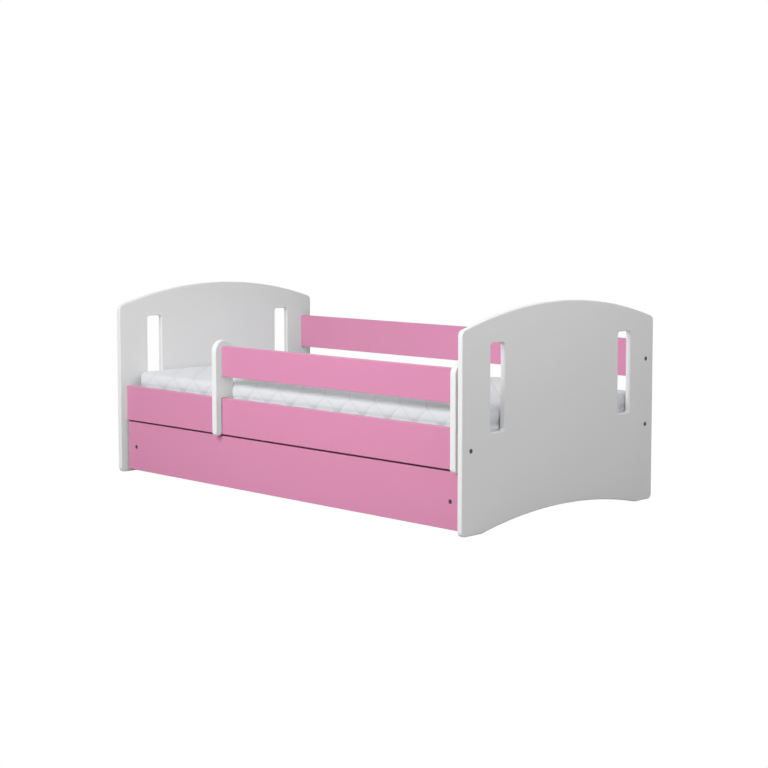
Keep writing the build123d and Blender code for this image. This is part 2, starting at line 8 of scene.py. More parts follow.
# %% Load the frame
import json
import math

import bpy
import numpy as np
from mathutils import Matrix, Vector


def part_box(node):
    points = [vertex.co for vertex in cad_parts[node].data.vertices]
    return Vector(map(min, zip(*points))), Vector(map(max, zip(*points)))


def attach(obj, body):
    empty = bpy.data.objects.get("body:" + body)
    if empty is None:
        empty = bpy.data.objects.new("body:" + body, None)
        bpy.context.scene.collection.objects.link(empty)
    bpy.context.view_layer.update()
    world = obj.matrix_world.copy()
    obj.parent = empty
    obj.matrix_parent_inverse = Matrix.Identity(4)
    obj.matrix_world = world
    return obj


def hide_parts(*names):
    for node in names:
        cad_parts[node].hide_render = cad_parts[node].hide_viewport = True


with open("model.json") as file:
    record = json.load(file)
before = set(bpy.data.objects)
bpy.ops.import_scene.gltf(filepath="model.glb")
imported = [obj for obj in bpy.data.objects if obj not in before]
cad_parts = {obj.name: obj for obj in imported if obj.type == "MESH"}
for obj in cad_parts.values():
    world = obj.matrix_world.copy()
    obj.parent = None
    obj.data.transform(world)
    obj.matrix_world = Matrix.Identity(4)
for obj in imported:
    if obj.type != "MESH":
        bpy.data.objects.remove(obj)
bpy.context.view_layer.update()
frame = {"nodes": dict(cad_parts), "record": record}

MM = 0.001
nodes = frame["nodes"]

# %% [markdown]
# A few helpers serve every finish. Paint charts and screens give colours as sRGB hex
# values, while the shader works in linear light, so one function converts them. Another
# adds a node, sets its values and links its sockets in one line. Four steps that the
# recipes repeat are built on it: arithmetic, a wave, a blend of two colours and a change
# of range. Each hands back the socket that holds its result.


# %% Colour and node helpers
def linear(hex_colour):
    """The linear RGBA of an sRGB hex colour: the sRGB curve undone channel by channel."""
    value = hex_colour.lstrip("#")
    srgb = np.array([int(value[i : i + 2], 16) for i in (0, 2, 4)]) / 255
    curve = np.where(srgb <= 0.04045, srgb / 12.92, ((srgb + 0.055) / 1.055) ** 2.4)
    return (*curve.tolist(), 1.0)


def add(tree, kind, inputs=None, **settings):
    """Add a node; settings are its properties, inputs are values or sockets to link."""
    made = tree.nodes.new("ShaderNode" + kind)
    for name, value in settings.items():
        setattr(made, name, value)
    for name, value in (inputs or {}).items():
        if isinstance(value, bpy.types.NodeSocket):
            tree.links.new(value, made.inputs[name])
        else:
            made.inputs[name].default_value = value
    return made


def calculate(tree, operation, *values):
    """The result of one Math node on values or sockets."""
    return add(tree, "Math", dict(enumerate(values)), operation=operation).outputs[0]


def wave(tree, value, period):
    """A sine of a socket's value with the given period in metres."""
    return calculate(tree, "SINE", calculate(tree, "MULTIPLY", value, 2 * math.pi / period))


def blend(tree, share, first, second, **settings):
    """A colour between the first and the second, by the share of the second."""
    inputs = {0: share, 6: first, 7: second}
    return add(tree, "Mix", inputs, data_type="RGBA", **settings).outputs[2]


def rescale(tree, value, source, target, **settings):
    """Carry a value from one range to another, and hold it at the target's ends."""
    ends = {"From Min": source[0], "From Max": source[1], "To Min": target[0], "To Max": target[1]}
    return add(tree, "MapRange", {"Value": value, **ends}, **settings).outputs[0]


def new_material(name, **surface):
    """An empty material whose one shader has the given values; returns it and its tree."""
    material = bpy.data.materials.new(name)
    material.use_nodes = True
    tree = material.node_tree
    tree.nodes.clear()
    shader = add(tree, "BsdfPrincipled", {key.replace("_", " "): value for key, value in surface.items()})
    add(tree, "OutputMaterial", {"Surface": shader.outputs["BSDF"]})
    return material, tree, shader


# %% [markdown]
# The camera stands about four and a half metres off the corner between the drawer and
# the right end panel, at waist height, and looks slightly down with a short telephoto
# lens, so the long rails run off with little convergence. A small shift of the lens does
# part of the looking down, which keeps the upright edges more nearly upright, as with
# the shift lenses that buildings are shot with.

# %% Camera
camera_place = (3.9122, -3.8352, 0.9429)
camera_turn = 45.154
camera_tilt = -4.677
camera_lens = 76.97
camera_shift = -0.06

lens = bpy.data.cameras.new("camera")
lens.lens = camera_lens
lens.sensor_width = 36
lens.shift_y = camera_shift
lens.clip_end = 60
camera = bpy.data.objects.new("camera", lens)
bpy.context.scene.collection.objects.link(camera)
camera.location = camera_place
camera.rotation_euler = (math.radians(90 + camera_tilt), 0, math.radians(camera_turn))
bpy.context.scene.camera = camera
print("camera at", camera_place, "lens", camera_lens)

# %% [markdown]
# The stage is a white sweep, lit as catalogue furniture is. The walls of the studio give
# a soft glow, each from its own side, so every face of a white board has its own grey.
# Softboxes do the modelling: a large one over the drawer side, and three small ones off
# the end panel, close enough that their light falls away down the panel. A weak lamp in
# front draws the one soft shadow, under the guard. The floor bounces what falls on it,
# and is over-lit where the camera looks straight at it, as a white sweep is. It has one
# side only, so the underside of the bed can be looked at through it.

# %% Stage and light
scene = bpy.context.scene
scene.view_settings.view_transform = "Standard"
scene.view_settings.look = "None"

glow_plus = (0.12, 0.58, 0.10)  # from the +X, +Y and +Z sides
glow_minus = (0.60, 0.10, 0.0)  # from the -X, -Y and -Z sides

world = bpy.data.worlds.new("soft_light")
scene.world = world
world.use_nodes = True
tree = world.node_tree
tree.nodes.clear()
direction = add(tree, "TexCoord").outputs["Generated"]
ahead = add(tree, "VectorMath", {0: direction, 1: (0, 0, 0)}, operation="MAXIMUM")
behind = add(tree, "VectorMath", {0: direction, 1: (0, 0, 0)}, operation="MINIMUM")
from_plus = add(tree, "VectorMath", {0: ahead.outputs[0], 1: glow_plus}, operation="DOT_PRODUCT")
from_minus = add(tree, "VectorMath", {0: behind.outputs[0], 1: glow_minus}, operation="DOT_PRODUCT")
level = calculate(tree, "SUBTRACT", from_plus.outputs["Value"], from_minus.outputs["Value"])
seen = add(tree, "LightPath").outputs["Is Camera Ray"]
glow = add(tree, "Mix", {0: seen, 2: level, 3: 1.0}, data_type="FLOAT")
background = add(tree, "Background", {"Color": (1, 1, 1, 1), "Strength": glow.outputs[0]})
add(tree, "OutputWorld", {"Surface": background.outputs[0]})


def aim(lamp, place, target):
    """Put a lamp at place and turn its -Z axis to target."""
    scene.collection.objects.link(lamp)
    lamp.location = place
    way = np.array(target) - np.array(place)
    turn = math.atan2(-way[0], way[1])
    tilt = math.atan2(math.hypot(way[0], way[1]), -way[2])
    lamp.rotation_euler = (tilt, 0, turn)


def softbox(name, place, target, size, power):
    """A square area light at place, turned to face target."""
    data = bpy.data.lights.new(name, "AREA")
    data.size = size
    data.energy = power
    aim(bpy.data.objects.new(name, data), place, target)


softbox("softbox_front", (0.1, -2.6, 1.8), (0, 0, 0.4), 1.5, 50)
softbox("softbox_end_high", (2.6, -0.9, 2.2), (0.8, 0, 0.4), 1.2, 6.5)
softbox("softbox_end_near", (1.9, -0.5, 1.5), (0.82, 0, 0.5), 0.8, 5.0)
softbox("softbox_end_rear", (2.2, 1.2, 1.6), (0.82, 0, 0.5), 1.0, 4.4)

key = bpy.data.lights.new("key_light", "SUN")
key.energy = 0.36
key.angle = math.radians(13)
aim(bpy.data.objects.new("key_light", key), (0.8, -2.5, 3.0), (0, 0, 0))

floor_half = 14.0
floor_mesh = bpy.data.meshes.new("floor")
corners = [
    (-floor_half, -floor_half, 0),
    (floor_half, -floor_half, 0),
    (floor_half, floor_half, 0),
    (-floor_half, floor_half, 0),
]
floor_mesh.from_pydata(corners, [], [(0, 1, 2, 3)])
floor = bpy.data.objects.new("floor", floor_mesh)
scene.collection.objects.link(floor)
floor_material, tree, shader = new_material("white_vinyl_sweep", Base_Color=linear("#B4B4B4"), Roughness=0.9)
seen = add(tree, "LightPath").outputs["Is Camera Ray"]
overlit = add(tree, "Emission", {"Color": (1, 1, 1, 1), "Strength": 1.0})
surface = add(tree, "MixShader", {0: seen, 1: shader.outputs["BSDF"], 2: overlit.outputs[0]})
under = add(tree, "NewGeometry").outputs["Backfacing"]
clear = add(tree, "BsdfTransparent")
one_sided = add(tree, "MixShader", {0: under, 1: surface.outputs[0], 2: clear.outputs[0]})
tree.links.new(one_sided.outputs[0], tree.nodes["Material Output"].inputs["Surface"])
floor_mesh.materials.append(floor_material)

# %% [markdown]
# Sprayed lacquer on fine fibreboard. The real finish is two or three rolled and sprayed
# coats over a sanded board, so it is even from a distance and shows three things close
# up: a faint cloudiness in the coat over a hand's width, the orange peel of a sprayed
# film, a few millimetres across, and the odd nib of dust under the last coat. White and
# pink boards differ only in their pigment, so one recipe makes both. A real pink board
# would also throw pink light on the white boards beside it. That cast is left out, which
# real paint can't do: where a board lights another matt surface, it counts as grey.

# %% Lacquered boards
lacquer_cloud = 180 * MM
lacquer_peel = 2.6 * MM
lacquer_nib_spacing = 38 * MM
lacquer_smear = 45 * MM


def lacquer(name, colour, shade, bounce):
    """Satin lacquer: cloudy pigment, orange peel and dust nibs, all in object space."""
    material, tree, shader = new_material(name, Roughness=0.4, IOR=1.5)
    place = add(tree, "TexCoord").outputs["Object"]
    cloud = add(tree, "TexNoise", {"Vector": place, "Scale": 1 / lacquer_cloud, "Detail": 3.0})
    tone = blend(tree, cloud.outputs["Fac"], linear(colour), linear(shade))
    bounced = add(tree, "LightPath").outputs["Is Diffuse Ray"]
    calm = blend(tree, bounced, tone, linear(bounce))
    tree.links.new(calm, shader.inputs["Base Color"])
    smear = add(tree, "TexNoise", {"Vector": place, "Scale": 1 / lacquer_smear, "Detail": 5.0})
    polish = rescale(tree, smear.outputs["Fac"], (0.3, 0.7), (0.33, 0.44))
    tree.links.new(polish, shader.inputs["Roughness"])
    peel = add(tree, "TexNoise", {"Vector": place, "Scale": 1 / lacquer_peel, "Detail": 1.5})
    peel_bump = add(tree, "Bump", {"Height": peel.outputs["Fac"], "Strength": 0.08, "Distance": 0.05 * MM})
    dust = add(tree, "TexVoronoi", {"Vector": place, "Scale": 1 / lacquer_nib_spacing})
    nib = rescale(tree, dust.outputs["Distance"], (0.0, 0.02), (1.0, 0.0))
    nib_bump = add(
        tree,
        "Bump",
        {
            "Height": nib,
            "Strength": 0.4,
            "Distance": 0.15 * MM,
            "Normal": peel_bump.outputs["Normal"],
        },
    )
    tree.links.new(nib_bump.outputs["Normal"], shader.inputs["Normal"])
    return material


finishes = {
    "white_lacquer": lacquer("white_lacquer_on_fibreboard", "#F7F7F7", "#F4F4F4", "#F5F5F5"),
    "pink_lacquer": lacquer("pink_lacquer_on_fibreboard", "#E392B9", "#E190B7", "#B4B4B4"),
}
print("lacquers", list(finishes))

# %% [markdown]
# Planed pine for the slats, the ledgers and the drawer's bearers. A plain-sawn slat
# shows long, nearly straight bands where the growth rings meet the face, pale early
# wood between narrow darker late wood, and fine pores drawn out along the grain. The
# rings are a noise field squeezed across the grain and stretched along it, then folded
# into bands by a sine. The slats run across the bed and the ledgers along it, so the
# recipe takes the direction of the grain.

# %% Pine
pine_ring = 7 * MM
pine_cell = 6  # ring widths to one cell of the noise, across the grain
pine_run = 420 * MM
pine_folds = 70.0
pine_pore = 0.5 * MM
pine_pore_stretch = 60  # times longer than wide


def pine(name, along):
    """Unfinished pine whose grain runs along 'X' or 'Y' of the bed."""
    material, tree, shader = new_material(name, Roughness=0.6, IOR=1.5)
    place = add(tree, "TexCoord").outputs["Object"]
    cross = 1 / (pine_ring * pine_cell)
    run = 1 / pine_run
    stretch = (run, cross, cross) if along == "X" else (cross, run, cross)
    squeezed = add(tree, "Mapping", {"Vector": place, "Scale": stretch})
    field = add(
        tree,
        "TexNoise",
        {"Vector": squeezed.outputs[0], "Scale": 1.0, "Detail": 2.0, "Distortion": 0.3},
    )
    folded = calculate(tree, "MULTIPLY", field.outputs["Fac"], pine_folds)
    rings = calculate(tree, "SINE", folded)
    band = rescale(tree, rings, (-0.4, 1.0), (0.0, 1.0), interpolation_type="SMOOTHSTEP")
    fine_cross = 1 / pine_pore
    fine_run = 1 / (pine_pore_stretch * pine_pore)
    fine = (fine_run, fine_cross, fine_cross) if along == "X" else (fine_cross, fine_run, fine_cross)
    drawn = add(tree, "Mapping", {"Vector": place, "Scale": fine})
    pores = add(tree, "TexNoise", {"Vector": drawn.outputs[0], "Scale": 1.0, "Detail": 2.0})
    wood = blend(tree, band, linear("#ECD6AC"), linear("#DDB985"))
    worn = blend(tree, 0.14, wood, pores.outputs["Fac"], blend_type="OVERLAY")
    tree.links.new(worn, shader.inputs["Base Color"])
    rough = rescale(tree, pores.outputs["Fac"], (0.3, 0.7), (0.5, 0.72))
    tree.links.new(rough, shader.inputs["Roughness"])
    grain = add(tree, "Bump", {"Height": pores.outputs["Fac"], "Strength": 0.35, "Distance": 0.15 * MM})
    ridge = add(
        tree,
        "Bump",
        {
            "Height": band,
            "Strength": 0.3,
            "Distance": 0.1 * MM,
            "Normal": grain.outputs["Normal"],
        },
    )
    tree.links.new(ridge.outputs["Normal"], shader.inputs["Normal"])
    return material


pine_across = pine("planed_pine_across_the_bed", "Y")
pine_along = pine("planed_pine_along_the_bed", "X")
print("pine", pine_across.name, pine_along.name)

# %% [markdown]
# The drawer box is plainer than its front, as on real furniture: white melamine faced
# chipboard with a faint pearled print-through of the chips, and a thin hardboard bottom
# that is white above and brown, fibrous board below. The hardboard tells its two faces
# apart by which way they point.


# %% Drawer boards
melamine_pearl = 1.2 * MM
melamine_chip = 9 * MM
hardboard_fibre = 1.5 * MM


def melamine():
    """Matt white paper-faced chipboard with a pearled texture a millimetre across."""
    material, tree, shader = new_material("white_melamine_chipboard", IOR=1.5)
    place = add(tree, "TexCoord").outputs["Object"]
    pearl = add(tree, "TexNoise", {"Vector": place, "Scale": 1 / melamine_pearl, "Detail": 2.0})
    chips = add(tree, "TexVoronoi", {"Vector": place, "Scale": 1 / melamine_chip})
    tone = blend(tree, chips.outputs["Distance"], linear("#EDEDEB"), linear("#E8E8E6"))
    tree.links.new(tone, shader.inputs["Base Color"])
    rough = rescale(tree, pearl.outputs["Fac"], (0.3, 0.7), (0.48, 0.6))
    tree.links.new(rough, shader.inputs["Roughness"])
    bump = add(tree, "Bump", {"Height": pearl.outputs["Fac"], "Strength": 0.25, "Distance": 0.06 * MM})
    tree.links.new(bump.outputs["Normal"], shader.inputs["Normal"])
    return material


def hardboard():
    """Thin board, painted above and raw brown fibre below and on its edges."""
    material, tree, shader = new_material("white_faced_hardboard", Roughness=0.6, IOR=1.5)
    place = add(tree, "TexCoord").outputs["Object"]
    fibre = add(tree, "TexNoise", {"Vector": place, "Scale": 1 / hardboard_fibre, "Detail": 6.0})
    raw = blend(tree, fibre.outputs["Fac"], linear("#B08E66"), linear("#94734F"))
    facing = add(tree, "SeparateXYZ", {0: add(tree, "NewGeometry").outputs["Normal"]})
    upward = calculate(tree, "GREATER_THAN", facing.outputs["Z"], 0.5)
    tone = blend(tree, upward, raw, linear("#EAEAE7"))
    tree.links.new(tone, shader.inputs["Base Color"])
    bump = add(tree, "Bump", {"Height": fibre.outputs["Fac"], "Strength": 0.3, "Distance": 0.1 * MM})
    tree.links.new(bump.outputs["Normal"], shader.inputs["Normal"])
    return material


finishes["white_melamine"] = melamine()
finishes["white_hardboard"] = hardboard()
print("drawer boards", finishes["white_melamine"].name, finishes["white_hardboard"].name)

# %% [markdown]
# Fastenings and castors. The bolts are blackened steel. Screws, nuts, axles and the
# pressed forks of the castors are zinc plated, with the cloudy, slightly blue patches of
# passivated zinc. The wheels are injection moulded, with a fine spark-eroded grain and
# duller patches where they have rolled on the floor.


# %% Metals and plastics
def worn_surface(name, colour, shade, patch, low, high, grain, depth, **surface):
    """A one-piece finish: two tones in patches, roughness from low to high, fine grain."""
    material, tree, shader = new_material(name, **surface)
    place = add(tree, "TexCoord").outputs["Object"]
    patches = add(tree, "TexNoise", {"Vector": place, "Scale": 1 / patch, "Detail": 4.0})
    tone = blend(tree, patches.outputs["Fac"], linear(colour), linear(shade))
    tree.links.new(tone, shader.inputs["Base Color"])
    rough = rescale(tree, patches.outputs["Fac"], (0.3, 0.7), (low, high))
    tree.links.new(rough, shader.inputs["Roughness"])
    fine = add(tree, "TexNoise", {"Vector": place, "Scale": 1 / grain, "Detail": 3.0})
    bump = add(tree, "Bump", {"Height": fine.outputs["Fac"], "Strength": 0.3, "Distance": depth})
    tree.links.new(bump.outputs["Normal"], shader.inputs["Normal"])
    return material


finishes["dark_bolt"] = worn_surface(
    "blackened_steel", "#7E8084", "#66686C", 5 * MM, 0.35, 0.5, 0.3 * MM, 0.02 * MM, Metallic=1.0
)
finishes["zinc_screw"] = worn_surface(
    "zinc_plated_steel", "#C3C6CC", "#AEB3BC", 4 * MM, 0.28, 0.42, 0.4 * MM, 0.02 * MM, Metallic=1.0
)
finishes["wheel_plastic"] = worn_surface(
    "moulded_black_polypropylene", "#2E2F32", "#3A3B3E", 9 * MM, 0.42, 0.65, 0.6 * MM, 0.05 * MM, IOR=1.49
)
finishes["beech"] = pine("turned_beech_pegs", "X")
print("fastening finishes", len(finishes))


# %% [markdown]
# The webbing that spaces the slats is a woven polyester tape. Its weave is two crossed
# ridges, one along the tape and one across it, drawn at two millimetres so that it
# still shows when the mattress is off.


# %% Webbing
webbing_yarn = 2 * MM


def webbing():
    """Woven tape: the product of two sine ridges, one each way, lifts the yarns."""
    material, tree, shader = new_material("woven_polyester_tape", Roughness=0.85, Sheen_Weight=0.3)
    place = add(tree, "TexCoord").outputs["Object"]
    parts = add(tree, "SeparateXYZ", {0: place})
    ridge_x = wave(tree, parts.outputs["X"], webbing_yarn)
    ridge_y = wave(tree, parts.outputs["Y"], webbing_yarn)
    weave = calculate(tree, "MULTIPLY", ridge_x, ridge_y)
    tone = blend(tree, weave, linear("#DADAD4"), linear("#C9C9C2"))
    tree.links.new(tone, shader.inputs["Base Color"])
    bump = add(tree, "Bump", {"Height": weave, "Strength": 0.6, "Distance": 0.3 * MM})
    tree.links.new(bump.outputs["Normal"], shader.inputs["Normal"])
    return material


finishes["webbing"] = webbing()
print("webbing", finishes["webbing"].name)

# %% [markdown]
# Each part of the frame now takes the finish that the record names for it. Pine is the
# one slot with two recipes, because its grain follows the length of each piece.

# %% Finishes on the frame
slot_of = {part["node"]: part["material_slot"] for part in frame["record"]["subparts"]}
for node_name, part in nodes.items():
    slot_name = slot_of[node_name]
    if slot_name == "pine":
        finish = pine_across if node_name.startswith(("slat_", "drawer_")) else pine_along
    else:
        finish = finishes.get(slot_name)
    if finish is not None:
        for place in part.material_slots:
            place.material = finish
print("finished nodes", len(slot_of))

# %% [markdown]
# The mattress is a slab of foam in a quilted cover. The cover's top sheet runs over the
# edge and down to a seam just above the rails, and two sets of diagonal stitch lines
# hold it to its padding, so the surface is a field of small square pillows that carries
# on round the edge as a zigzag. Below the seam the border is plain. A block with a bump
# pattern would look hard, so the cover is made as cloth: a closed grid whose diagonals
# are the stitch lines, held still along those lines while air pressure lifts the rest.
# Grid steps and stitch lines share one spacing, so every line runs through grid points.

# %% Mattress grid
mattress_low, mattress_high = (np.array(c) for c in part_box("mattress"))
step = 10.97 * MM
quilt_steps = 10  # grid steps from one stitch line to the next
seam_row = 4  # grid rows from the top edge down to the seam
swell_room = np.array([3.0, 3.0, 0.0]) * MM
low = mattress_low + swell_room
high = mattress_high - swell_room
counts = np.round((high - low) / step).astype(int)
plan_round = 56 * MM
edge_round = 14 * MM
print("mattress grid", counts, "points a side")


def box_shell(counts):
    """The integer points of a box's surface and the quads that join them, facing out."""
    size = counts + 1
    index = np.full(size, -1)
    grid = np.stack(np.meshgrid(*[np.arange(n) for n in size], indexing="ij"), -1)
    on_surface = np.any((grid == 0) | (grid == counts), axis=-1)
    index[on_surface] = np.arange(on_surface.sum())
    quads = []
    for axis in range(3):
        for far in (0, 1):
            layer = np.take(index, counts[axis] * far, axis=axis)
            a, b = layer[:-1, :-1], layer[1:, :-1]
            c, d = layer[1:, 1:], layer[:-1, 1:]
            ring = np.stack([a, b, c, d] if (far == 1) != (axis == 1) else [a, d, c, b], -1)
            quads.append(ring.reshape(-1, 4))
    return grid[on_surface], np.concatenate(quads)


def rounded_slab(points, low, high, plan_round, edge_round):
    """Round a box: square corners of the plan, then of the section, become quarter circles.

    In a corner square of side r, an offset d from the inner corner keeps its largest
    component as its length: d becomes d times max(|d|) over the length of d.
    """
    middle, half = (low + high) / 2, (high - low) / 2
    flat = points - middle
    inner = np.clip(flat[:, :2], -(half[:2] - plan_round), half[:2] - plan_round)
    out = flat[:, :2] - inner
    length = np.maximum(np.linalg.norm(out, axis=1), 1e-9)
    flat[:, :2] = inner + out * (np.abs(out).max(axis=1) / length)[:, None]
    inner = np.clip(flat[:, :2], -(half[:2] - plan_round), half[:2] - plan_round)
    out = flat[:, :2] - inner
    reach = np.linalg.norm(out, axis=1)
    across = np.maximum(reach - (plan_round - edge_round), 0)
    above = np.clip(np.abs(flat[:, 2]) - (half[2] - edge_round), 0, None)
    length = np.maximum(np.hypot(across, above), 1e-9)
    scale = np.maximum(across, above) / length
    new_reach = np.where(across > 0, plan_round - edge_round + across * scale, reach)
    flat[:, :2] = inner + out * (new_reach / np.maximum(reach, 1e-9))[:, None]
    flat[:, 2] = np.sign(flat[:, 2]) * (np.minimum(np.abs(flat[:, 2]), half[2] - edge_round) + above * scale)
    return flat + middle


ids, quads = box_shell(counts)
box_points = low + ids * (high - low) / counts
slab = rounded_slab(box_points, low, high, plan_round, edge_round)

# %% [markdown]
# The guard's posts stand partly over the mattress, and their inner prongs press its edge
# in. The dent is as wide as the post plus a little, has soft shoulders where the foam
# comes back out, and dies away towards the middle of the bed. It runs from top to
# bottom, so the mattress still lifts straight out past the posts.

# %% Dents at the guard posts
dent_clear = 2.4 * MM
dent_shoulder = 11 * MM
dent_reach = 60 * MM
post_boxes = [[np.array(c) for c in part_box(name)] for name in ("guard_post_left", "guard_post_right")]


def smooth(t):
    """The smoothstep 3t^2 - 2t^3, held at 0 and 1 outside its range."""
    t = np.clip(t, 0, 1)
    return t * t * (3 - 2 * t)


def dent(points):
    """Push points near a post towards +Y, by as much as the post stands over the slab."""
    moved = points.copy()
    for post_low, post_high in post_boxes:
        middle, half = (post_low[0] + post_high[0]) / 2, (post_high[0] - post_low[0]) / 2 + dent_clear
        beside = np.abs(points[:, 0] - middle) - half
        if post_high[0] + dent_shoulder > high[0]:
            beside = np.minimum(beside, np.where(points[:, 0] > middle, -1, beside))
        press = post_high[1] + dent_clear - low[1]
        along = 1 - smooth(beside / dent_shoulder)
        inward = 1 - smooth((points[:, 1] - low[1]) / dent_reach)
        moved[:, 1] += press * along * inward
    return moved


slab = dent(slab)

# %% [markdown]
# Which points are sewn down follows from their grid numbers alone. On the top they are
# column i and row j; down a side the count goes on past the edge, as the cloth does. A
# point is on a stitch line where the sum or the difference of the two is a multiple of
# the quilt step. The same unrolled numbers, in metres, become the cover's UV map, so
# its knit and stitches run over the edge without a break.

# %% Unrolled cover
drop = counts[2] - ids[:, 2]
unroll_x = ids[:, 0].astype(float)
unroll_y = ids[:, 1].astype(float)
on_end = (ids[:, 0] == 0) | (ids[:, 0] == counts[0])
on_side = (ids[:, 1] == 0) | (ids[:, 1] == counts[1])
unroll_x += np.where(on_end & ~on_side, np.where(ids[:, 0] == 0, -drop, drop), 0)
unroll_y += np.where(on_side, np.where(ids[:, 1] == 0, -drop, drop), 0)
stitched = ((unroll_x + unroll_y) % quilt_steps == 0) | ((unroll_x - unroll_y) % quilt_steps == 0)
above_seam = drop < seam_row
on_seam = drop == seam_row
bottom = ids[:, 2] == 0
held = (stitched & above_seam) | on_seam | bottom
print("points", len(ids), "held", int(held.sum()))


# %% [markdown]
# The cloth solver blows the cover up against its stitches for twenty frames, without
# gravity. How far each point may move is capped, so the cover stays clear of the rails
# beside it and keeps its height. One subdivision then smooths the grid.


# %% Blow up the cover
def mesh_object(name, points, faces, body):
    """A new object at the origin from arrays of points and faces, riding on a body."""
    mesh = bpy.data.meshes.new(name)
    mesh.from_pydata(points.tolist(), [], faces.tolist())
    mesh.validate()
    made = bpy.data.objects.new(name, mesh)
    scene.collection.objects.link(made)
    for face in mesh.polygons:
        face.use_smooth = True
    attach(made, body)
    return made


def read_points(mesh):
    """The mesh's vertex positions as one array."""
    flat = np.empty(len(mesh.vertices) * 3, np.float32)
    mesh.vertices.foreach_get("co", flat)
    return flat.reshape(-1, 3).astype(float)


def write_points(mesh, points):
    """Put an array of positions back into the mesh."""
    mesh.vertices.foreach_set("co", points.astype(np.float32).ravel())
    mesh.update()


swell_cap = 7 * MM
cloth_frames = 20


def inflate(made, held):
    """Run the cloth solver with the held points pinned; returns the settled positions."""
    pins = made.vertex_groups.new(name="stitches")
    pins.add(np.flatnonzero(held).tolist(), 1.0, "REPLACE")
    cloth = made.modifiers.new("cloth", "CLOTH")
    cloth.settings.vertex_group_mass = "stitches"
    cloth.settings.quality = 6
    cloth.settings.mass = 0.4
    cloth.settings.tension_stiffness = 4
    cloth.settings.compression_stiffness = 4
    cloth.settings.shear_stiffness = 2
    cloth.settings.bending_stiffness = 0.05
    cloth.settings.use_pressure = True
    cloth.settings.uniform_pressure_force = 40.0
    cloth.settings.effector_weights.gravity = 0
    cloth.collision_settings.use_self_collision = False
    for number in range(1, cloth_frames + 1):
        scene.frame_set(number)
    settled = made.evaluated_get(bpy.context.evaluated_depsgraph_get())
    points = read_points(settled.data)
    made.modifiers.remove(cloth)
    made.vertex_groups.remove(pins)
    scene.frame_set(1)
    return points


mattress = mesh_object("mattress_cover", slab, quads, "mattress")
uv_points = np.stack([unroll_x, unroll_y], -1) * step
settled = inflate(mattress, held)
move = settled - slab
distance = np.maximum(np.linalg.norm(move, axis=1), 1e-9)
print("largest swell mm", round(distance.max() / MM, 1), "mean mm", round(distance.mean() / MM, 2))
write_points(mattress.data, slab + move * np.minimum(1, swell_cap / distance)[:, None])

# %% [markdown]
# After the subdivision the grid is fine enough for the stitches themselves. The thread
# bites a narrow groove along each line, deeper at each needle hole, and the seam draws
# in a deeper one all round. Distance from a line is measured in the unrolled cover, so
# the groove is a bell curve of that distance, pushed in along the surface's normal. Below
# the seam the plain border puckers in a little tuck under each corner of the zigzag.

# %% Stitches and seam
layer = mattress.data.uv_layers.new(name="unrolled")
loops = np.empty(len(mattress.data.loops), np.int32)
mattress.data.loops.foreach_get("vertex_index", loops)
layer.data.foreach_set("uv", uv_points[loops].astype(np.float32).ravel())
drop_mark = mattress.data.attributes.new("drop", "FLOAT", "POINT")
drop_mark.data.foreach_set("value", (drop * step).astype(np.float32))

subdivide = mattress.modifiers.new("smooth", "SUBSURF")
subdivide.levels = subdivide.render_levels = 1
graph = bpy.context.evaluated_depsgraph_get()
fine_mesh = bpy.data.meshes.new_from_object(
    mattress.evaluated_get(graph), preserve_all_data_layers=True, depsgraph=graph
)
mattress.modifiers.clear()
mattress.data = fine_mesh
fine_mesh.name = "mattress_cover"

groove_width = 3.2 * MM
groove_depth = 2.0 * MM
needle_gap = 9 * MM
needle_bite = 0.25  # share of the groove's depth that comes and goes with the needle holes
seam_width = 1.2 * groove_width
seam_depth = 3.0 * MM
tuck_width = 1.5 * step
tuck_height = 0.7 * step
tuck_row = seam_row + 0.9
tuck_depth = 7 * MM
points = read_points(fine_mesh)
normals = np.empty(len(points) * 3, np.float32)
fine_mesh.vertices.foreach_get("normal", normals)
normals = normals.reshape(-1, 3).astype(float)
loops = np.empty(len(fine_mesh.loops), np.int32)
fine_mesh.loops.foreach_get("vertex_index", loops)
loop_uv = np.empty(len(fine_mesh.loops) * 2, np.float32)
fine_mesh.uv_layers["unrolled"].data.foreach_get("uv", loop_uv)
cover = np.zeros((len(points), 2))
cover[loops] = loop_uv.reshape(-1, 2)
depth = np.empty(len(points), np.float32)
fine_mesh.attributes["drop"].data.foreach_get("value", depth)

pitch = quilt_steps * step
both = np.stack([cover[:, 0] + cover[:, 1], cover[:, 0] - cover[:, 1]])
from_line = np.abs((both / pitch + 0.5) % 1 - 0.5) * pitch / math.sqrt(2)
groove = np.exp(-((from_line / groove_width) ** 2))
turns = both[::-1] * math.sqrt(0.5) * 2 * math.pi / needle_gap
needle = 1 - needle_bite + needle_bite * np.cos(turns)
quilted = smooth((seam_row * step - depth) / step + 0.5)
bite = (groove * needle).max(axis=0) * groove_depth * quilted
seam = np.exp(-(((depth - seam_row * step) / seam_width) ** 2)) * seam_depth
along_edge = np.where(np.abs(normals[:, 1]) > np.abs(normals[:, 0]), cover[:, 0], cover[:, 1])
from_corner = ((along_edge / pitch) % 1 - 0.5) * pitch
from_row = depth - tuck_row * step
tuck = np.exp(-((from_corner / tuck_width) ** 2) - (from_row / tuck_height) ** 2) * tuck_depth
points -= normals * (bite + seam + tuck)[:, None]
print("cover triangles", 2 * len(fine_mesh.polygons))

# %% [markdown]
# Last, the cover is kept inside the room it has: above the slats, between the rails and
# the end panels, and off the guard's prongs. This is a plain clamp of the coordinates,
# so a later change of the padding can't push the cloth into the wood.

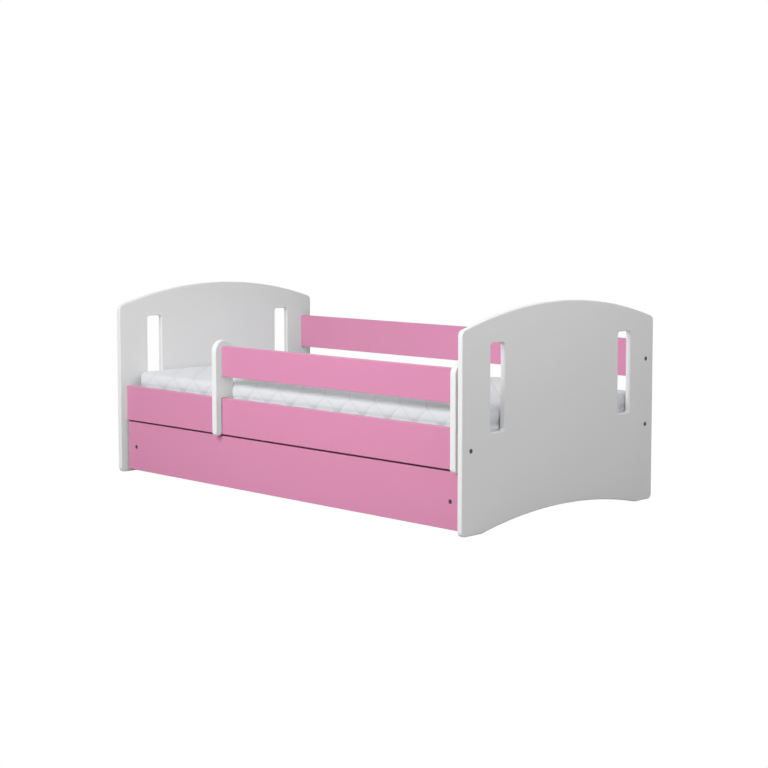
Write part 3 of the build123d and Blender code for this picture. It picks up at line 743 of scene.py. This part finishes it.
# %% Keep the cover clear
room_below = np.array([2.5, 2.2, -0.2]) * MM  # past the low corner of the plain block
room_above = np.array([2.5, 2.2, 8.0]) * MM  # past its high corner
prong_clear = 1.2 * MM
points = np.clip(points, mattress_low - room_below, mattress_high + room_above)
for post_low, post_high in post_boxes:
    beside = (points[:, 0] > post_low[0] - prong_clear) & (points[:, 0] < post_high[0] + prong_clear)
    points[:, 1] = np.where(beside, np.maximum(points[:, 1], post_high[1] + prong_clear), points[:, 1])
write_points(fine_mesh, points)
for face in fine_mesh.polygons:
    face.use_smooth = True
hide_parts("mattress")
print("mattress spans mm", np.round(points.min(axis=0) / MM, 1), np.round(points.max(axis=0) / MM, 1))

# %% [markdown]
# The cover's cloth is a white double-knit jersey with a slight cool cast. Its knit is
# drawn in the unrolled UVs as rows of small loops, a little larger than life so they
# still show. Stitches are darker dashes along the quilt lines. Nap makes the cloth rough
# and gives it a soft sheen at glancing angles, which is set on the shader itself.


# %% Mattress cover cloth
knit_loop = 3.2 * MM
knit_row = 1.6 * knit_loop
knit_slub = 14 * MM


def knit_cover():
    """Knitted loops and dashed stitching, both worked out from the unrolled UVs."""
    material, tree, shader = new_material(
        "quilted_polyester_jersey", Roughness=0.92, Sheen_Weight=0.35, Sheen_Roughness=0.6, IOR=1.5
    )
    unrolled = add(tree, "UVMap", uv_map="unrolled").outputs[0]
    parts = add(tree, "SeparateXYZ", {0: unrolled})
    across, along = parts.outputs["X"], parts.outputs["Y"]

    loop_sides = wave(tree, across, knit_loop)
    loop_rows = wave(tree, along, knit_row)
    knit = calculate(tree, "MULTIPLY", loop_sides, loop_rows)
    slub = add(tree, "TexNoise", {"Vector": unrolled, "Scale": 1 / knit_slub, "Detail": 3.0}).outputs["Fac"]
    height = calculate(tree, "MULTIPLY", knit, slub)

    plus = calculate(tree, "ADD", across, along)
    minus = calculate(tree, "SUBTRACT", across, along)
    marks = []
    for line, other in ((plus, minus), (minus, plus)):
        near = calculate(tree, "PINGPONG", line, pitch / 2)
        on_line = rescale(tree, near, (0.6 * MM, 2.0 * MM), (1.0, 0.0))
        dash = rescale(tree, wave(tree, other, needle_gap), (-0.5, 0.1), (0.0, 1.0))
        marks.append(calculate(tree, "MULTIPLY", on_line, dash))
    thread = calculate(tree, "MAXIMUM", marks[0], marks[1])
    drop_value = add(tree, "Attribute", attribute_name="drop").outputs["Fac"]
    sewn = calculate(tree, "LESS_THAN", drop_value, seam_row * step)
    thread = calculate(tree, "MULTIPLY", thread, sewn)

    tone = blend(tree, slub, linear("#E9EAED"), linear("#E4E5E9"))
    shaded = blend(tree, thread, tone, linear("#C9CBD2"))
    tree.links.new(shaded, shader.inputs["Base Color"])
    bump = add(tree, "Bump", {"Height": height, "Strength": 0.5, "Distance": 0.35 * MM})
    sunk = add(
        tree,
        "Bump",
        {"Height": thread, "Strength": 0.6, "Distance": 0.8 * MM, "Normal": bump.outputs["Normal"]},
        invert=True,
    )
    tree.links.new(sunk.outputs["Normal"], shader.inputs["Normal"])
    return material


mattress.data.materials.clear()
mattress.data.materials.append(knit_cover())
print("cover cloth", mattress.data.materials[0].name)

# %% [markdown]
# Staples hold the webbing to the underside of each slat. A staple is a short flat wire
# with a leg at each end that goes into the wood, so only its crown shows. One array of
# box corners is copied twice to every crossing of a tape and a slat.

# %% Staples
staple_crown = 10 * MM
staple_wire = 1.1 * MM
staple_drop = 0.9 * MM
staple_spread = 0.2  # of the slat's width, to each side of its middle
slat_names = sorted(name for name in nodes if name.startswith("slat_") and name[5:].isdigit())
box_faces = np.array(
    [[0, 1, 3, 2], [4, 6, 7, 5], [0, 4, 5, 1], [2, 3, 7, 6], [0, 2, 6, 4], [1, 5, 7, 3]]
)
box_corners = np.array([[x, y, z] for x in (-1, 1) for y in (-1, 1) for z in (-1, 1)]) / 2
staple_points = []
for tape_name in ("slat_tape_front", "slat_tape_rear"):
    tape_low, tape_high = (np.array(c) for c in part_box(tape_name))
    for slat_name in slat_names:
        slat_low, slat_high = (np.array(c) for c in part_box(slat_name))
        for offset in (-staple_spread, staple_spread):
            x = (slat_low[0] + slat_high[0]) / 2 + offset * (slat_high[0] - slat_low[0])
            centre = np.array([x, (tape_low[1] + tape_high[1]) / 2, tape_low[2] - staple_drop / 2])
            size = np.array([staple_wire, staple_crown, staple_drop])
            staple_points.append(centre + box_corners * size)
staple_faces = np.concatenate([box_faces + 8 * k for k in range(len(staple_points))])
staples = mesh_object("tape_staples", np.concatenate(staple_points), staple_faces, "frame")
bevel = staples.modifiers.new("worn_edges", "BEVEL")
bevel.width = 0.25 * MM
bevel.segments = 2
staples.data.materials.append(finishes["zinc_screw"])
print("staples", len(staple_points))
